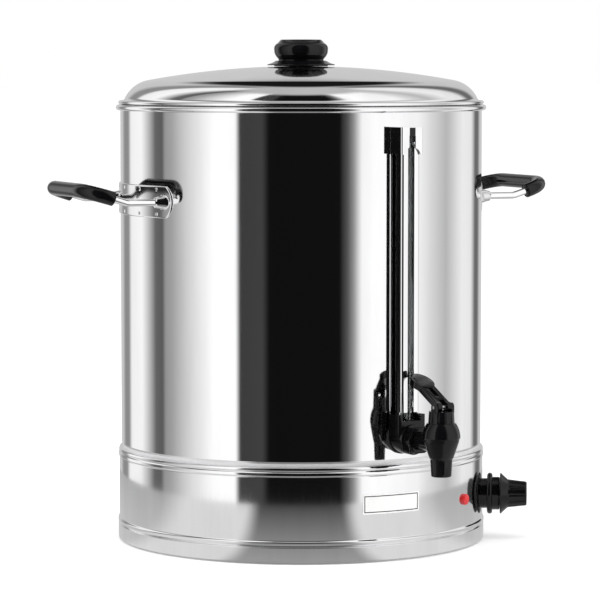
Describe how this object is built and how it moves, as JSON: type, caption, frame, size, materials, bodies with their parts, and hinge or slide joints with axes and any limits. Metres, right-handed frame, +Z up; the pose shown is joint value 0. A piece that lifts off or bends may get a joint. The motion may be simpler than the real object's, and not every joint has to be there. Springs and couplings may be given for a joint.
{
  "type": "hot water urn",
  "caption": "Polished steel cylinder for heating and dispensing hot water, with a domed lid, carrying handles, a sight gauge, a lever tap and a thermostat dial.",
  "frame": {"origin": "centre of the circle the feet stand on, on the tank's axis", "axes": "+Z up the tank's axis, -Y towards the tap"},
  "size_m": [0.4986, 0.4546, 0.4842],
  "materials": {
    "mirror_steel": "mirror polished stainless steel",
    "plain_steel": "plain steel",
    "chromed": "polished chrome",
    "element_steel": "satin steel sheath",
    "black_plastic": "moulded, low sheen",
    "dark_plastic": "moulded",
    "pale_plastic": "moulded",
    "red_plastic": "moulded",
    "red_lens": "translucent lens",
    "black_rubber": "soft",
    "silicone": "soft silicone",
    "clear_glass": "clear",
    "copper": "drawn copper",
    "brass": "turned",
    "lead_sleeve": "silicone sleeved leads"
  },
  "bodies": {
    "urn": {"tank": "mirror_steel", "base_shell": "mirror_steel", "base_plate": "plain_steel", "base_plate_screws": "plain_steel", "feet": "black_rubber", "foot_screws": "plain_steel", "left_handle_plate": "mirror_steel", "right_handle_plate": "mirror_steel", "left_handle_rod": "chromed", "right_handle_rod": "chromed", "left_handle_grip": "black_plastic", "right_handle_grip": "black_plastic", "gauge_block": "black_plastic", "gauge_guard": "chromed", "gauge_glass": "clear_glass", "gauge_bottom_seal": "silicone", "gauge_top_seal": "silicone", "gauge_top_bracket": "chromed", "gauge_bracket_nut": "plain_steel", "gauge_bracket_seal": "silicone", "tap_outer_seal": "black_rubber", "tap_inner_seal": "silicone", "tap_back_nut": "plain_steel", "tap_union_nut": "black_plastic", "tap_body": "black_plastic", "tap_bonnet": "black_plastic", "lever_pin": "plain_steel", "control_collar": "black_plastic", "thermostat_screws": "plain_steel", "thermostat_body": "dark_plastic", "thermostat_bulb": "copper", "bulb_clip": "plain_steel", "capillary_tube": "copper", "pilot_lamp_lens": "red_lens", "pilot_lamp_body": "dark_plastic", "heating_element": "element_steel", "element_seals": "silicone", "element_nuts": "brass", "thermal_cutout": "dark_plastic", "terminal_block": "pale_plastic", "earth_stud": "brass", "internal_leads": "lead_sleeve", "cable_gland": "black_plastic", "gland_nut": "black_plastic", "gland_seal": "black_rubber", "gland_lock_nut": "black_plastic"},
    "lid": {"lid_shell": "mirror_steel", "lid_knob": "black_plastic", "lid_knob_gasket": "black_rubber", "lid_knob_screw": "plain_steel"},
    "tap_lever": {"tap_lever": "black_plastic"},
    "valve": {"valve_stem": "black_plastic", "seat_cup": "silicone"},
    "control": {"control_knob": "black_plastic", "thermostat_spindle": "plain_steel"},
    "reset": {"reset_button": "red_plastic"}
  },
  "joints": [
    {"name": "lid_lift", "type": "slide", "parent": "urn", "child": "lid", "axis": [0, 0, 1], "range_m": [0, 0.25]},
    {"name": "lever_pull", "type": "hinge", "parent": "urn", "child": "tap_lever", "pos_m": [0, -0.243, 0.15], "axis": [1, 0, 0], "range_deg": [0, 35], "stiffness_Nm_per_rad": 0.05, "springref_deg": -28.65},
    {"name": "valve_lift", "type": "slide", "parent": "urn", "child": "valve", "axis": [0, 0, 1], "range_m": [0, 0.0035], "deforming": ["seat_cup"]},
    {"name": "thermostat_turn", "type": "hinge", "parent": "urn", "child": "control", "pos_m": [0.15973, -0.12036, 0.044], "axis": [-0.7986, 0.6018, 0], "range_deg": [0, 270]},
    {"name": "reset_press", "type": "slide", "parent": "urn", "child": "reset", "axis": [0, 0, 1], "range_m": [0, 0.002], "stiffness_N_per_m": 200, "springref_m": -0.005}
  ],
  "couplings": [
    {"joint": "valve_lift", "follows": "lever_pull", "m_per_rad": 0.00548}
  ]
}
